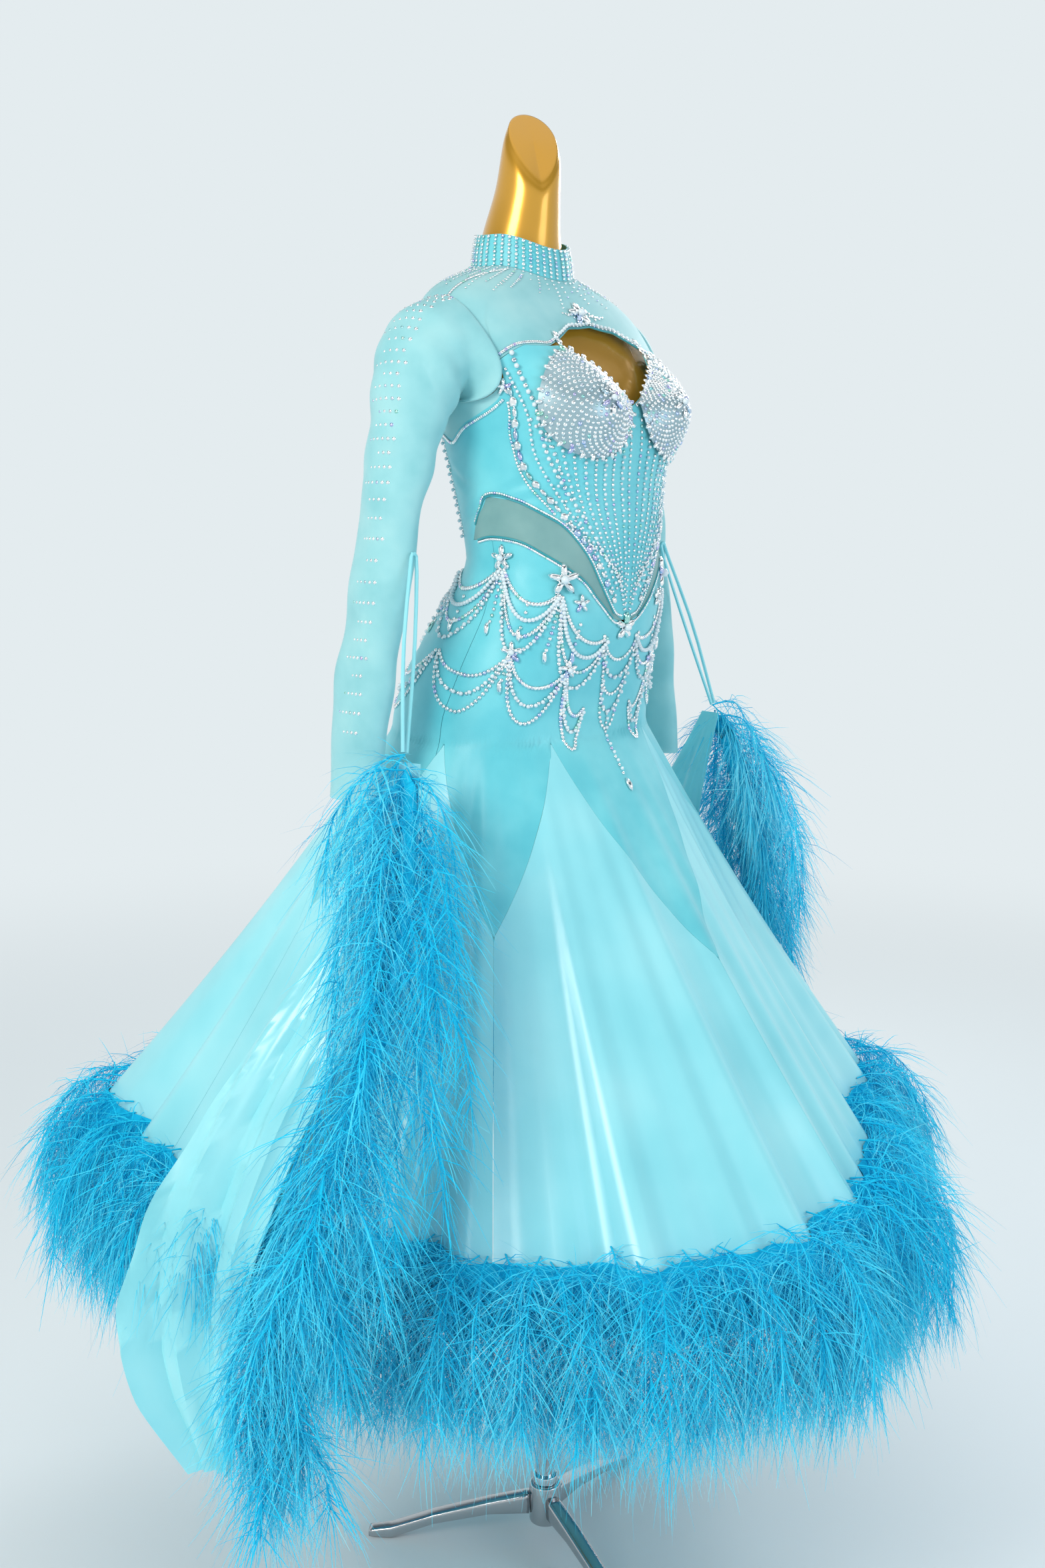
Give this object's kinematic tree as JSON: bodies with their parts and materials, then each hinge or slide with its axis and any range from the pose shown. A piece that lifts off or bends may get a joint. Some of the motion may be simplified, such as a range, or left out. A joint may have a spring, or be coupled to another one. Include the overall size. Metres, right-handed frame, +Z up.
{
  "type": "ballroom gown on a limbless dress form with a tripod stand",
  "caption": "Turquoise ballroom gown with a crystal bodice, satin godet skirt and feather hem, on a gold dress form and tripod stand.",
  "frame": {"origin": "on the floor, at the middle of the whole outline seen from above", "axes": "+Z up, the gown's front faces -Y, its wearer's right is -X"},
  "size_m": [1.3476, 1.2402, 1.828],
  "materials": {
    "gold_lacquer": "glossy gold lacquer",
    "chromed_pole": "polished",
    "steel_stand": "satin",
    "stretch_lycra": "smooth stretch knit",
    "sheer_mesh": "sheer stretch mesh",
    "stone_crust": "close-set cut glass stones",
    "satin": "glossy satin",
    "ostrich_feather": "soft dyed ostrich feather"
  },
  "bodies": {
    "root": {"bodice": "stretch_lycra", "collar": "stretch_lycra", "cup_l": "stone_crust", "cup_r": "stone_crust", "dress_form": "gold_lacquer", "float_feathers_l": "ostrich_feather", "float_feathers_r": "ostrich_feather", "float_satin_l": "satin", "float_satin_r": "satin", "form_pole": "chromed_pole", "godet_1": "satin", "godet_2": "satin", "godet_3": "satin", "godet_4": "satin", "godet_5": "satin", "godet_6": "satin", "hem_feathers_1": "ostrich_feather", "hem_feathers_2": "ostrich_feather", "hem_feathers_3": "ostrich_feather", "hem_feathers_4": "ostrich_feather", "hem_feathers_5": "ostrich_feather", "hem_feathers_6": "ostrich_feather", "hip_back": "stretch_lycra", "hip_front": "stretch_lycra", "sleeve_l": "sheer_mesh", "sleeve_lower_l": "sheer_mesh", "sleeve_lower_r": "sheer_mesh", "sleeve_r": "sheer_mesh", "stand_hub": "steel_stand", "stand_leg_1": "steel_stand", "stand_leg_2": "steel_stand", "stand_leg_3": "steel_stand", "strap_l": "satin", "strap_r": "satin", "underarm_mesh_l": "sheer_mesh", "underarm_mesh_r": "sheer_mesh", "waist_mesh_l": "sheer_mesh", "waist_mesh_r": "sheer_mesh", "yoke": "sheer_mesh"}
  },
  "joints": []
}
